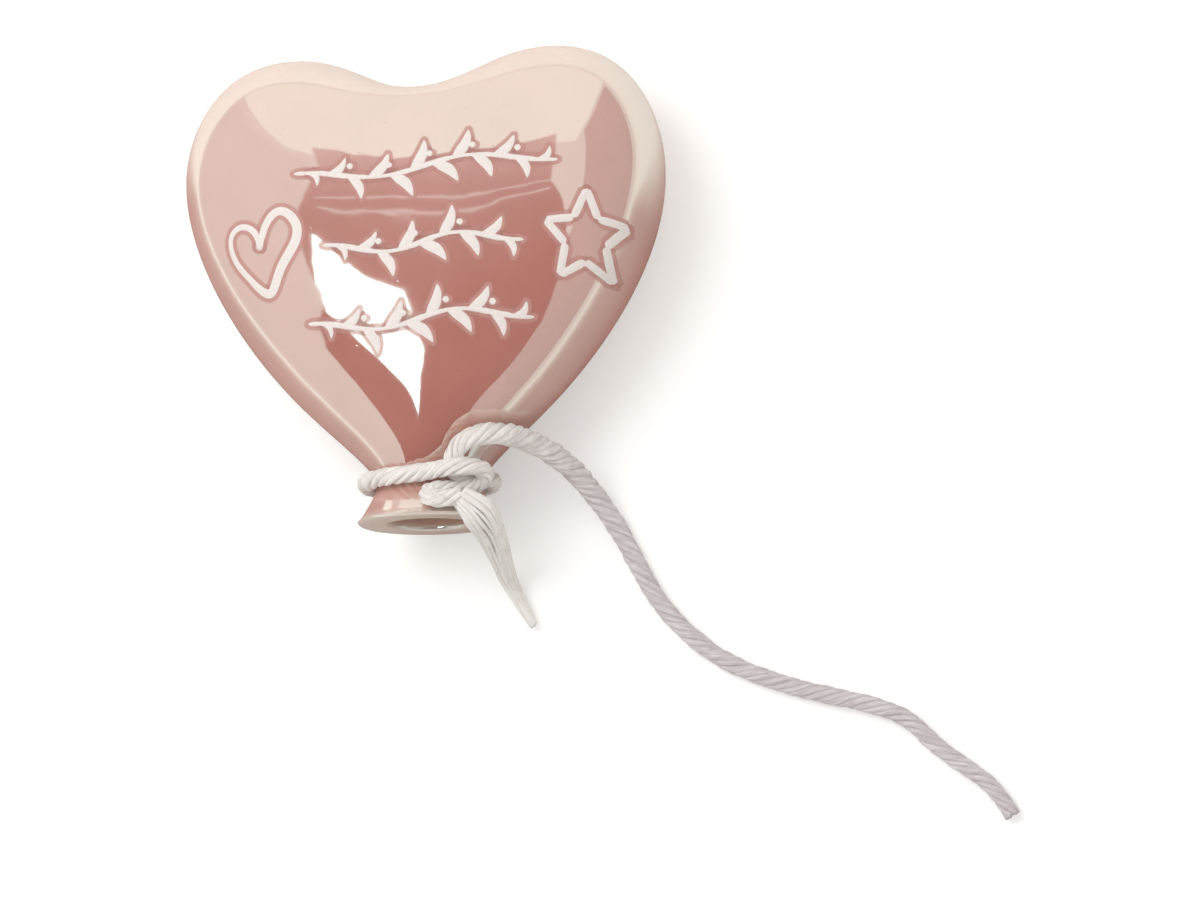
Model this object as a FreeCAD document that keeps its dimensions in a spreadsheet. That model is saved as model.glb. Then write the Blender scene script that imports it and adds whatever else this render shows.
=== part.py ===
"""Heart-shaped balloon ornament in glazed ceramic, tied with cotton twine.

The balloon lies on its flat back with its face up: z = 0 is the back face,
+Y points to the two lobes and -Y to the open mouth. The balloon's own axis
runs along Y at the height axis_height. All lengths are in millimetres.
"""
import FreeCAD, Part
import math
import os

from FreeCAD import Placement, Rotation, Vector

os.makedirs("parts", exist_ok=True)
doc = FreeCAD.newDocument("HeartBalloon")

# ---------------------------------------------------------------- dimensions
DIMENSIONS = {
    "half_width": 50.0,       # widest point of the heart from its middle plane
    "lobe_top": 49.5,         # highest point of the lobes
    "notch_bottom": 41.2,     # bottom of the notch between the lobes
    "waist_place": -40.9,     # narrowest ring of the neck, where the twine sits
    "mouth_place": -49.5,     # open end of the neck
    "half_depth": 22.0,       # crown of the face above the balloon's axis
    "axis_height": 18.0,      # balloon's axis above the flat back
    "waist_radius": 11.0,
    "mouth_radius": 15.0,
    "wall": 3.0,
    "bore_radius": 8.6,
    "lip_round": 1.0,         # rounding of the mouth's outer edge
    "hanger_radius": 4.0,     # hole in the back for a nail or a hook
    "hanger_place": 24.0,
    "cord_diameter": 3.6,
    "cord_gap": 0.25,         # between the twine and the glaze of the neck
    "knot_turn": 50.0,        # degrees from +X towards +Z, seen along the axis
    "knot_length": 5.4,       # half sizes of the knot: round the neck,
    "knot_width": 4.0,        # along the neck,
    "knot_height": 3.3,       # and away from the neck
}

sheet = doc.addObject("Spreadsheet::Sheet", "Dimensions")
for row, (name, value) in enumerate(DIMENSIONS.items(), start=1):
    sheet.set(f"A{row}", name)
    sheet.set(f"B{row}", str(value))
    sheet.setAlias(f"B{row}", name)
doc.recompute()

ROOM = 80.0               # reach of the boxes and drills that only cut away


def size(name):
    """The sheet's value of one driving dimension."""
    return float(sheet.get(name))


def bind(thing, **formulas):
    """Tie properties to the sheet; a formula writes the sheet as D."""
    for prop, formula in formulas.items():
        path = prop.replace("__", ".")
        thing.setExpression(path, formula.replace("D.", "Dimensions."))


def feature(name, shape):
    """A document object that holds a shape made by Part's own functions."""
    thing = doc.addObject("Part::Feature", name)
    thing.Shape = shape
    return thing


def cut(name, base, tool):
    """Base minus tool, as a feature of the document."""
    thing = doc.addObject("Part::Cut", name)
    thing.Base = base
    thing.Tool = tool
    return thing


# ------------------------------------------------------- the heart's surface
# Outline from waist to notch. Side: share of the way from the waist's radius
# to the half width, and of the way from the waist to the lobe top.
SIDE = [(0.07, 0.048), (0.235, 0.117), (0.40, 0.186), (0.722, 0.361),
        (0.950, 0.572), (0.982, 0.785), (0.74, 0.959), (0.21, 0.987)]
# Face: share of the way from the waist's radius to the half depth, and of
# the way from the waist to the bottom of the notch.
FACE = [(0.12, 0.058), (0.33, 0.132), (0.52, 0.209), (0.83, 0.396),
        (0.98, 0.605), (0.985, 0.770), (0.76, 0.902), (0.22, 0.978)]
SQUARENESS = 0.07         # how far the middle rings swell past an ellipse
COLLAR = [(1.0, 1.0), (0.40, 0.55)]     # the flare, from mouth to waist
COLLAR_RINGS = 5
HEART_RINGS = 26
SPOKES = 32               # points round each ring


def outline_knots():
    """Knots of the side outline and of the face profile, as (radius, y)."""
    waist_r, waist_y = size("waist_radius"), size("waist_place")
    flare = size("mouth_radius") - waist_r
    reach = size("mouth_place") - waist_y
    wide = size("half_width") - waist_r
    deep = size("half_depth") - waist_r
    tall = size("lobe_top") - waist_y
    inner = size("notch_bottom") - waist_y
    collar = [Vector(waist_r + flare * f, waist_y + reach * g, 0) for f, g in COLLAR]
    collar.append(Vector(waist_r, waist_y, 0))
    pole = Vector(0, size("notch_bottom"), 0)
    side = [Vector(waist_r + wide * f, waist_y + tall * g, 0) for f, g in SIDE]
    face = [Vector(waist_r + deep * f, waist_y + inner * g, 0) for f, g in FACE]
    return collar + side + [pole], collar + face + [pole]


def mirrored_curve(ahead, beyond, places, pole):
    """A smooth curve up to a pole point and on down the opposite side.

    Going on past the pole makes the near half arrive there level.
    """
    curve = Part.BSplineCurve()
    curve.interpolate(Points=ahead + [pole] + beyond[::-1],
                      Parameters=places + [1.0] + [2 - p for p in places[::-1]])
    curve.segment(places[0], 1.0)
    return curve


def generators():
    """Side and face curves on one parameter, and that parameter's waist."""
    side, face = outline_knots()
    steps = [a.distanceToPoint(b) for a, b in zip(side, side[1:])]
    places = [sum(steps[:i]) / sum(steps) for i in range(len(side))]
    curves = []
    for knots in (side, face):
        opposite = [Vector(-knot.x, knot.y, 0) for knot in knots[:-1]]
        curves.append(mirrored_curve(knots[:-1], opposite, places[:-1], knots[-1]))
    return curves[0], curves[1], places[len(COLLAR)]


def ring(side, face, swell):
    """One closed ring: a swollen ellipse whose y blends side into face."""
    points = []
    for i in range(SPOKES):
        turn = 2 * math.pi * i / SPOKES
        c, s = math.cos(turn), math.sin(turn)
        across = (c - swell * math.cos(3 * turn)) / (1 - swell)
        upward = (s + swell * math.sin(3 * turn)) / (1 - swell)
        points.append(Vector(side.x * across,
                             side.y * c * c + face.y * s * s,
                             size("axis_height") + face.x * upward))
    return points


def ring_places(waist):
    """Parameters of the rings, from the mouth to just short of the notch."""
    collar = [waist * i / COLLAR_RINGS for i in range(COLLAR_RINGS)]
    return collar + [waist + (1 - waist) * i / HEART_RINGS for i in range(HEART_RINGS)]


def outer_surface():
    """The glazed outside, from the mouth's edge to the notch."""
    side, face, waist = generators()
    places = ring_places(waist)
    rings = []
    for place in places:
        way = max(0.0, (place - waist) / (1 - waist))
        swell = SQUARENESS * math.sin(math.pi * way) ** 2
        rings.append(ring(side.value(place), face.value(place), swell))
    pole = Vector(0, size("notch_bottom"), size("axis_height"))
    return surface_through(rings, places, pole)


def inner_surface(outer):
    """The cavity's surface: the outer one, a wall's thickness further in."""
    wall = size("wall")
    places = ring_places(generators()[2])[COLLAR_RINGS:]
    throat = Vector(size("waist_radius") - wall, size("waist_place"), 0)
    rings = [ring(throat, throat, 0.0)]
    step = -wall if outer.normal(0.5, 0.0).x > 0 else wall
    turns = [2 * math.pi * k / SPOKES for k in range(SPOKES)]
    for place in places[1:]:
        rings.append([outer.value(place, turn) + outer.normal(place, turn) * step
                      for turn in turns])
    pole = Vector(0, size("notch_bottom") - wall, size("axis_height"))
    return surface_through(rings, places, pole)


def closed_curve(points):
    """The smooth closed curve through points at even turns."""
    turns = [2 * math.pi * i / SPOKES for i in range(SPOKES + 1)]
    curve = Part.BSplineCurve()
    curve.interpolate(Points=points, PeriodicFlag=True, Parameters=turns)
    return curve


def surface_through(rings, places, pole):
    """The smooth surface through closed rings that closes at a pole point."""
    columns = []
    for k in range(SPOKES):
        ahead = [points[k] for points in rings]
        beyond = [points[(k + SPOKES // 2) % SPOKES] for points in rings]
        columns.append(mirrored_curve(ahead, beyond, places, pole))
    rows = [closed_curve([column.getPole(i) for column in columns])
            for i in range(1, columns[0].NbPoles)]
    round_poles = range(1, rows[0].NbPoles + 1)
    poles = [[row.getPole(k) for k in round_poles] for row in rows]
    poles.append([pole for k in round_poles])
    surface = Part.BSplineSurface()
    surface.buildFromPolesMultsKnots(
        poles, columns[0].getMultiplicities(), rows[0].getMultiplicities(),
        columns[0].getKnots(), rows[0].getKnots(),
        False, True, columns[0].Degree, rows[0].Degree)
    return surface


def solid_inside(surface):
    """The solid that a pole-ended surface and a flat lid on its start close."""
    start = surface.bounds()[0]
    lid = Part.Face(Part.Wire([surface.uIso(start).toShape()]))
    skin = surface.toShape()
    shell = Part.makeShell([skin, lid])
    shell.sewShape()
    solid = Part.makeSolid(Part.Shell(shell.Faces))
    if solid.Volume < 0:
        solid.reverse()
    return solid


# ------------------------------------------------------------ ceramic shell
def add_box(name, top):
    """A box that removes all below the height that the formula top gives."""
    box = doc.addObject("Part::Box", name)
    box.Length = box.Width = 3 * ROOM
    box.Height = ROOM
    box.Placement.Base = Vector(-1.5 * ROOM, -1.5 * ROOM, -ROOM)
    bind(box, Placement__Base__z=f"{top} - {ROOM}")
    return box


def flat_edges(shape, lies_flat):
    """Numbers of the edges whose every sampled point passes the test."""
    found = []
    for number, edge in enumerate(shape.Edges, start=1):
        if edge.Length > 1.0 and all(map(lies_flat, edge.discretize(7))):
            found.append(number)
    return found


def add_fillet(name, base, edges, radius):
    """Round some edges of a feature with one radius."""
    rounding = doc.addObject("Part::Fillet", name)
    rounding.Base = base
    rounding.Edges = [(number, radius, radius) for number in edges]
    return rounding


def add_drill(name, radius, direction, **formulas):
    """A cylinder that cuts a round hole along a direction."""
    drill = doc.addObject("Part::Cylinder", name)
    drill.Placement.Rotation = Rotation(Vector(0, 0, 1), direction)
    bind(drill, Radius=f"D.{radius}", **formulas)
    return drill


def add_shell():
    """The slip-cast shell: one wall all round, an open mouth, a nail hole."""
    outer = outer_surface()
    whole = feature("OuterForm", solid_inside(outer))
    cavity = feature("InnerForm", solid_inside(inner_surface(outer)))
    flat = cut("OuterFlat", whole, add_box("BelowBack", "0"))
    hollow = cut("InnerFlat", cavity, add_box("BelowFloor", "D.wall"))
    doc.recompute()

    mouth = size("mouth_place")
    lip = flat_edges(flat.Shape, lambda point: abs(point.y - mouth) < 1e-3)
    lipped = add_fillet("LipRounding", flat, lip, size("lip_round"))
    doc.recompute()
    void = hollow.Shape.Shells[0].copy()
    void.reverse()
    skins = Part.Compound([lipped.Shape.Shells[0], void])
    cast = feature("HollowCasting", Part.makeSolid(skins))

    bore = add_drill("MouthBore", "bore_radius", Vector(0, 1, 0),
                     Height="D.waist_place - D.mouth_place + 2 * D.wall",
                     Placement__Base__y="D.mouth_place - D.wall",
                     Placement__Base__z="D.axis_height")
    hanger = add_drill("NailHole", "hanger_radius", Vector(0, 0, 1),
                       Height="3 * D.wall",
                       Placement__Base__y="D.hanger_place",
                       Placement__Base__z="-D.wall")
    shell = cut("BalloonShell", cut("OpenCasting", cast, bore), hanger)
    shell.Label = "balloon_shell"
    return shell


# ------------------------------------------------------------------- twine
# Route of the long end from the knot over the heart's shoulder to the table.
# The points that lie on the table have their height from the twine's radius.
LONG_END_IN_AIR = [(7.3, -38.8, 31.6), (8.7, -35.6, 33.7), (12.8, -33.7, 33.4),
                   (17.3, -33.0, 29.4), (21.6, -33.7, 22.8), (25.7, -35.6, 15.6),
                   (29.2, -38.6, 9.2), (32.7, -43.4, 4.4)]
LONG_END_ON_TABLE = [(36.5, -49.4), (40.2, -57.0), (44.5, -65.2), (50.4, -72.0),
                     (57.0, -77.4), (64.5, -81.1), (72.8, -84.0), (80.2, -86.0),
                     (87.9, -87.9), (95.3, -90.9), (100.6, -96.8),
                     (107.0, -101.6), (112.3, -105.6), (115.5, -111.3)]
# Route of the short end from the knot over the mouth's edge to the table.
SHORT_END_IN_AIR = [(9.6, -45.0, 31.0), (11.6, -48.3, 31.7), (13.3, -50.7, 28.8),
                    (13.6, -52.6, 22.6), (13.2, -54.3, 15.8), (13.0, -56.3, 9.4),
                    (13.3, -59.0, 4.6)]
SHORT_END_ON_TABLE = [(14.6, -62.2), (16.5, -65.9), (18.4, -69.2)]
ARC_SHARE = 0.45          # share of the shorter run that an arc's tangent takes
VOLUME_TOLERANCE = 0.02   # between a tube's volume and its length's
KNOT_LIFT = 0.6           # between the twine round the waist and the knot
TURN_OPENING = 38.0       # degrees that the knot closes in the turn


def route_points(in_air, on_table):
    """All points of a route, those on the table one radius above it."""
    low = size("cord_diameter") / 2
    points = [Vector(*p) for p in in_air]
    return points + [Vector(x, y, low) for x, y in on_table]


def rounded_path(points, name):
    """Straight runs joined by tangent arcs, as one wire; prints the radii."""
    edges, radii = [], []
    start = points[0]
    for before, corner, after in zip(points, points[1:], points[2:]):
        back = (before - corner).normalize()
        ahead = (after - corner).normalize()
        reach = ARC_SHARE * min(before.distanceToPoint(corner),
                                after.distanceToPoint(corner))
        half_turn = (math.pi - back.getAngle(ahead)) / 2
        radius = reach / math.tan(half_turn)
        enter, leave = corner + back * reach, corner + ahead * reach
        to_corner = (back + ahead).normalize()
        centre_away = radius / math.cos(half_turn)
        middle = corner + to_corner * (centre_away - radius)
        edges.append(Part.LineSegment(start, enter).toShape())
        edges.append(Part.Arc(enter, middle, leave).toShape())
        radii.append(round(radius, 1))
        start = leave
    edges.append(Part.LineSegment(start, points[-1]).toShape())
    print(name, "bend radii", radii)
    return Part.Wire(edges)


def add_tube(name, label, points):
    """A round length of twine along its route, checked by its volume."""
    radius = size("cord_diameter") / 2
    path = rounded_path(points, label)
    along = points[1] - points[0]
    circle = Part.makeCircle(radius, points[0], along)
    tube = path.makePipeShell([Part.Wire(circle)], True, False)
    expected = math.pi * radius ** 2 * path.Length
    print(label, "length", round(path.Length, 1),
          "volume ratio", round(tube.Volume / expected, 4))
    if abs(tube.Volume / expected - 1) > VOLUME_TOLERANCE:
        raise ValueError(label + " has a wrong volume")
    tube_feature = feature(name, tube)
    tube_feature.Label = label
    return tube_feature


def across_neck(degrees):
    """Unit vector away from the neck's axis at an angle from +X towards +Z."""
    turn = math.radians(degrees)
    return Vector(math.cos(turn), 0, math.sin(turn))


def add_knot():
    """The half knot's outer shape, seated on the twine round the waist."""
    knot = doc.addObject("Part::Ellipsoid", "Knot")
    bind(knot, Radius1="D.knot_height", Radius2="D.knot_length",
         Radius3="D.knot_width")
    away = across_neck(size("knot_turn"))
    seat = size("waist_radius") + 2 * size("cord_gap") + KNOT_LIFT
    reach = seat + size("knot_height")
    centre = Vector(0, size("waist_place"), size("axis_height")) + away * reach
    turned = Rotation(away.cross(Vector(0, 1, 0)) * -1, Vector(0, 1, 0), away, "ZYX")
    knot.Placement = Placement(centre, turned)
    knot.Label = "cord_knot"
    return knot


def add_neck_turn():
    """One turn of twine round the waist, open where the knot closes it."""
    turn = doc.addObject("Part::Torus", "NeckTurn")
    bind(turn, Radius1="D.waist_radius + D.cord_diameter / 2 + D.cord_gap",
         Radius2="D.cord_diameter / 2")
    turn.Angle3 = 360.0 - TURN_OPENING
    begin = across_neck(size("knot_turn") + TURN_OPENING / 2)
    axis = Vector(0, -1, 0)
    turned = Rotation(begin, axis.cross(begin), axis, "ZXY")
    centre = Vector(0, size("waist_place"), size("axis_height"))
    turn.Placement = Placement(centre, turned)
    turn.Label = "cord_neck_turn"
    return turn


# -------------------------------------------------------- build, test, write
def failed(thing):
    """True for an object that did not recompute or has no sound shape."""
    if {"Invalid", "Error"} & set(thing.State):
        return True
    shape = getattr(thing, "Shape", None)
    return shape is not None and (shape.isNull() or not shape.isValid())


nodes = [
    add_shell(),
    add_neck_turn(),
    add_knot(),
    add_tube("LongEnd", "cord_long_end",
             route_points(LONG_END_IN_AIR, LONG_END_ON_TABLE)),
    add_tube("ShortEnd", "cord_short_end",
             route_points(SHORT_END_IN_AIR, SHORT_END_ON_TABLE)),
]
doc.recompute()
bad = [thing.Name for thing in doc.Objects if failed(thing)]
if bad:
    raise RuntimeError("not sound: " + ", ".join(bad))
for node in nodes:
    node.Shape.exportStep(os.path.join("parts", node.Label + ".step"))
    box = node.Shape.BoundBox
    print(node.Label, "volume", round(node.Shape.Volume),
          "x", round(box.XMin, 1), round(box.XMax, 1),
          "y", round(box.YMin, 1), round(box.YMax, 1),
          "z", round(box.ZMin, 2), round(box.ZMax, 2))
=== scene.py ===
"""Heart-shaped balloon ornament: glazed ceramic tied with cotton twine.

Everything is in metres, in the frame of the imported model: the ornament lies
on its flat back, +Z up, +Y towards the two lobes, -Y towards the open mouth.
"""
import math

import bpy
import numpy as np
from mathutils import Matrix, Vector


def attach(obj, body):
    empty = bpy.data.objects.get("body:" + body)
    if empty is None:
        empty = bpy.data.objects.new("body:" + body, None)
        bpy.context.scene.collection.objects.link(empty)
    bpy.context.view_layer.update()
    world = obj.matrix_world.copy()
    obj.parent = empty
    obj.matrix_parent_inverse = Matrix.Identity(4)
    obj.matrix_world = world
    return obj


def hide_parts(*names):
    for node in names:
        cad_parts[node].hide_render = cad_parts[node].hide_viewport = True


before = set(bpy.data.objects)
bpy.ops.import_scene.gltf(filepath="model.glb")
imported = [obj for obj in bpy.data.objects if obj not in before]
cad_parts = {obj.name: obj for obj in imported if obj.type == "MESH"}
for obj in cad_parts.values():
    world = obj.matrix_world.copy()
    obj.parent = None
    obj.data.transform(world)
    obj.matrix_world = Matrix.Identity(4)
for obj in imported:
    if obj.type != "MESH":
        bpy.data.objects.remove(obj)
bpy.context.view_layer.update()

MM = 0.001
TAU = 2 * math.pi
RANDOM = np.random.default_rng(7)


# ------------------------------------------------------------- small helpers
def unit(vectors):
    """Each vector divided by its length."""
    return vectors / np.linalg.norm(vectors, axis=-1, keepdims=True)


def ease(value, low, high):
    """0 below low, 1 above high, and a smooth S between them."""
    share = np.clip((value - low) / (high - low), 0, 1)
    return share * share * (3 - 2 * share)


def smooth_curve(places, values):
    """A function of place: the natural cubic spline through the values.

    Second slopes m solve h0 m0 + 2(h0 + h1) m1 + h1 m2 = 6 (rise1 - rise0),
    with none at the two ends.
    """
    step = np.diff(places)
    count = len(places)
    rows = np.arange(1, count - 1)
    system = np.zeros((count, count))
    system[0, 0] = system[-1, -1] = 1
    system[rows, rows - 1] = step[:-1]
    system[rows, rows] = 2 * (step[:-1] + step[1:])
    system[rows, rows + 1] = step[1:]
    change = np.zeros(values.shape)
    change[1:-1] = 6 * np.diff(np.diff(values, axis=0) / step[:, None], axis=0)
    bend = np.linalg.solve(system, change)

    def at(where):
        i = np.clip(np.searchsorted(places, where) - 1, 0, count - 2)
        width = step[i][..., None]
        a = (places[i + 1] - where)[..., None] / width
        b = 1 - a
        curved = (a ** 3 - a) * bend[i] + (b ** 3 - b) * bend[i + 1]
        return a * values[i] + b * values[i + 1] + curved * width ** 2 / 6
    return at


def grid_faces(rows, columns, closed=False, first=0):
    """Quads between neighbouring rows and columns of a grid of points."""
    across = columns if closed else columns - 1
    r, c = np.meshgrid(np.arange(rows - 1), np.arange(across), indexing="ij")
    nxt = (c + 1) % columns
    quads = [r * columns + c, r * columns + nxt,
             (r + 1) * columns + nxt, (r + 1) * columns + c]
    return first + np.stack(quads, -1).reshape(-1, 4)


def make_piece(name, points, faces, material, smooth=True, **marks):
    """A mesh object at the origin; marks become float attributes of points."""
    mesh = bpy.data.meshes.new(name)
    mesh.from_pydata(points, [], [list(map(int, face)) for face in faces])
    for key, values in marks.items():
        layer = mesh.attributes.new(key, "FLOAT", "POINT")
        layer.data.foreach_set("value", np.asarray(values, np.float32))
    mesh.polygons.foreach_set("use_smooth", [smooth] * len(mesh.polygons))
    mesh.materials.append(material)
    mesh.update()
    piece = bpy.data.objects.new(name, mesh)
    bpy.context.scene.collection.objects.link(piece)
    return piece


# ----------------------------------------------------------------- materials
class Wire:
    """An output socket that can be written in sums."""

    def __init__(self, finish, socket):
        self.finish = finish
        self.socket = socket

    def math(self, operation, first, second):
        return self.finish.node("ShaderNodeMath", {0: first, 1: second},
                                operation=operation)

    def __add__(self, other):
        return self.math("ADD", self, other)

    def __sub__(self, other):
        return self.math("SUBTRACT", self, other)

    def __rsub__(self, other):
        return self.math("SUBTRACT", other, self)

    def __mul__(self, other):
        return self.math("MULTIPLY", self, other)

    __radd__ = __add__
    __rmul__ = __mul__


class Finish:
    """One material, or the world, and the nodes in it."""

    def __init__(self, name, kind="Material"):
        holders = bpy.data.worlds if kind == "World" else bpy.data.materials
        self.material = holders.new(name)
        self.material.use_nodes = True
        self.tree = self.material.node_tree
        self.tree.nodes.clear()
        self.output = self.tree.nodes.new("ShaderNodeOutput" + kind)

    def node(self, kind, sockets=(), out=0, **settings):
        """A node: its settings first, then the values or links of sockets."""
        made = self.tree.nodes.new(kind)
        for key, value in settings.items():
            setattr(made, key, value)
        for key, value in dict(sockets).items():
            if isinstance(value, Wire):
                self.tree.links.new(value.socket, made.inputs[key])
            else:
                made.inputs[key].default_value = value
        return Wire(self, made.outputs[out])

    def place(self):
        """Object coordinates in metres."""
        return self.node("ShaderNodeTexCoord", out="Object")

    def mark(self, name):
        """A float attribute of the mesh."""
        return self.node("ShaderNodeAttribute", out="Fac", attribute_name=name)

    def noise(self, place, scale, detail=3.0, rough=0.5):
        """Noise between 0 and 1 on a place vector."""
        return self.node("ShaderNodeTexNoise", {
            "Vector": place, "Scale": scale, "Detail": detail,
            "Roughness": rough})

    def between(self, value, low, high):
        """0 below low, 1 above high, smooth between."""
        return self.node("ShaderNodeMapRange", {
            "Value": value, "From Min": low, "From Max": high,
            "To Min": 0.0, "To Max": 1.0}, interpolation_type="SMOOTHSTEP")

    def blend(self, share, first, second):
        """A colour mixed between two colours."""
        made = self.node("ShaderNodeMix", data_type="RGBA", out=2)
        mix = made.socket.node
        for index, value in ((0, share), (6, first), (7, second)):
            if isinstance(value, Wire):
                self.tree.links.new(value.socket, mix.inputs[index])
            elif index:
                mix.inputs[index].default_value = (*value, 1)
            else:
                mix.inputs[index].default_value = value
        return made

    def bump(self, height, distance):
        """A normal from a height of 0 to 1 that stands for a distance."""
        return self.node("ShaderNodeBump", {"Height": height, "Distance": distance})

    def surface(self, shader):
        """The finished material, or world, that shows a shader."""
        self.tree.links.new(shader.socket, self.output.inputs["Surface"])
        return self.material


LUSTRE_PINK = (0.80, 0.315, 0.26)
LUSTRE_DEEP = (0.60, 0.20, 0.16)
# Cream painted on the mouth, standing in for the white table reflected there.
TABLE_REFLECTION_CREAM = (0.92, 0.78, 0.68)
PEARL_TINT = (0.74, 1.0, 0.94, 1.0)
LUSTRE_IOR = 5.5


def lustre_glaze():
    """Pearl pink lustre: deep pink under a nearly mirror-like clear skin.

    Colour turns brown-cream on the mouth's lip and end face: painted reflection
    of the white table. Pin-sized specks and hairline scratches interrupt the gloss.
    """
    f = Finish("pink_lustre_glaze")
    place = f.place()
    cloud = f.noise(place, 45.0, 4.0, 0.6)
    tone = f.blend(f.between(cloud, 0.3, 0.75), LUSTRE_PINK, LUSTRE_DEEP)
    soft = f.blend(0.35, LUSTRE_PINK, tone)
    speck = f.between(f.noise(place, 900.0, 1.0), 0.74, 0.80)
    speckled = f.blend(speck * 0.55, soft, LUSTRE_DEEP)
    # Painted reflection: the mouth's lip and end face are painted cream, standing in for the white
    # table they reflect.
    rim = f.between(f.mark("rim"), 0.1, 0.9)
    colour = f.blend(rim * 0.6, speckled, TABLE_REFLECTION_CREAM)
    stretched = f.node("ShaderNodeMapping", {
        "Vector": place, "Rotation": (0.0, 0.0, 0.5),
        "Scale": (60.0, 900.0, 60.0)})
    scratch = f.between(f.noise(stretched, 1.0, 2.0), 0.70, 0.74)
    patches = f.between(f.noise(place, 30.0, 1.0), 0.5, 0.7)
    gloss = f.noise(place, 150.0, 5.0, 0.7)
    rough = 0.035 + 0.03 * gloss + 0.22 * (scratch * patches) + 0.12 * speck
    ripple = f.noise(place, 75.0, 2.0, 0.4) + 0.02 * speck
    glazed = f.node("ShaderNodeBsdfPrincipled", {
        "Base Color": colour, "Roughness": rough, "IOR": LUSTRE_IOR,
        "Specular Tint": PEARL_TINT,
        "Normal": f.bump(ripple, 0.10 * MM)})
    return f.surface(glazed)


ENAMEL_LIGHT, ENAMEL_GREY = (0.80, 0.74, 0.71), (0.74, 0.66, 0.63)
FILM_PINK = (0.64, 0.33, 0.29)


def print_enamel():
    """Matt white enamel strokes in a soft, half clear pink margin."""
    f = Finish("white_print_enamel")
    margin = f.mark("margin")
    grain = f.noise(f.place(), 2600.0, 3.0, 0.6)
    core = 1.0 - f.between(margin, 0.0, 0.12 * MM)
    white = f.blend(f.between(grain, 0.35, 0.7), ENAMEL_LIGHT, ENAMEL_GREY)
    fade = 1.0 - f.between(margin + 0.3 * MM * grain, 0.70 * MM, 1.25 * MM)
    enamel = f.node("ShaderNodeBsdfPrincipled", {
        "Base Color": f.blend(core, FILM_PINK, white), "Roughness": 0.55,
        "Alpha": core + (1.0 - core) * (0.62 * fade),
        "Normal": f.bump(grain, 0.04 * MM)})
    return f.surface(enamel)


STRAY_BROWN = (0.42, 0.27, 0.18)


def cotton(name, light, shade, stain_and_groove_shade, far_light=None, far_shade=None):
    """Twisted cotton: fine fibres along each yarn, with painted light on raised fibres and painted
    shade between them and in the grooves.

    With the far colours the twine turns greyer and darker from about 8 mm to 70 mm along its
    length, and stays so beyond.
    """
    f = Finish(name)
    along = f.mark("along")
    stretched = f.node("ShaderNodeCombineXYZ", {
        "X": along * 260.0, "Y": f.mark("around") * 9.0, "Z": f.mark("yarn") * 3.7})
    fibre = f.noise(stretched, 1.0, 4.0, 0.65)
    fleck = f.noise(f.place(), 420.0, 3.0, 0.6)
    # Painted light and shade: raised fibres take the light colour and the low ones between them
    # the shade colour.
    raised = f.between(fibre, 0.3, 0.72)
    tone = f.blend(raised, shade, light)
    if far_light:
        greyed = f.blend(raised, far_shade, far_light)
        tone = f.blend(f.between(along, 0.008, 0.07), tone, greyed)
    worn = f.blend(f.between(fleck, 0.45, 0.75) * 0.45, tone, stain_and_groove_shade)
    # Painted shade: each yarn's side that faces the cord's middle, in the grooves between yarns,
    # is darkened towards the stain colour.
    groove_shade = f.between(f.mark("groove_shade"), 0.0, 1.0)
    colour = f.blend(groove_shade * 0.55, worn, stain_and_groove_shade)
    brown = f.blend(f.mark("stray"), colour, STRAY_BROWN)
    height = fibre + 0.4 * fleck
    yarn = f.node("ShaderNodeBsdfPrincipled", {
        "Base Color": brown, "Roughness": 0.85, "Specular IOR Level": 0.25,
        "Sheen Weight": 0.25, "Sheen Roughness": 0.4,
        "Normal": f.bump(height, 0.16 * MM)})
    return f.surface(yarn)


# --------------------------------------------------------- the heart's shape
HALF_WIDTH, LOBE_TOP, NOTCH_BOTTOM = 50.0 * MM, 49.5 * MM, 41.2 * MM
HALF_DEPTH, AXIS_HEIGHT = 22.0 * MM, 18.0 * MM
WAIST_PLACE_Y, WAIST_RADIUS = -40.9 * MM, 11.0 * MM
MOUTH_PLACE_Y, MOUTH_RADIUS = -49.5 * MM, 15.0 * MM
WALL, BORE_RADIUS, LIP_ROUND = 3.0 * MM, 8.6 * MM, 1.0 * MM
HANGER_PLACE_Y = 24.0 * MM
# Knots of the outline from the waist on. SIDE: shares of the way from the
# waist's radius to the half width, and from the waist to the lobe's top. FACE:
# the same to the half depth and the notch. COLLAR: the same to the mouth.
SIDE = [(0.07, 0.048), (0.235, 0.117), (0.40, 0.186), (0.722, 0.361),
        (0.950, 0.572), (0.982, 0.785), (0.74, 0.959), (0.21, 0.987)]
FACE = [(0.12, 0.058), (0.33, 0.132), (0.52, 0.209), (0.83, 0.396),
        (0.98, 0.605), (0.985, 0.770), (0.76, 0.902), (0.22, 0.978)]
COLLAR = [(1.0, 1.0), (0.40, 0.55)]
SQUARENESS = 0.07
BACK_ROUND = 0.9 * MM
THROAT_ROUND = 0.9 * MM
SPOKES = 256
FADE_RINGS = 6


def outline(shares, widest, highest):
    """Knots (radius, y) from the mouth over the waist to the notch."""
    flare, reach = MOUTH_RADIUS - WAIST_RADIUS, MOUTH_PLACE_Y - WAIST_PLACE_Y
    wide, tall = widest - WAIST_RADIUS, highest - WAIST_PLACE_Y
    collar = [(WAIST_RADIUS + flare * a, WAIST_PLACE_Y + reach * b)
              for a, b in COLLAR]
    body = [(WAIST_RADIUS + wide * a, WAIST_PLACE_Y + tall * b)
            for a, b in shares]
    waist = (WAIST_RADIUS, WAIST_PLACE_Y)
    return np.array([*collar, waist, *body, (0.0, NOTCH_BOTTOM)])


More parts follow.
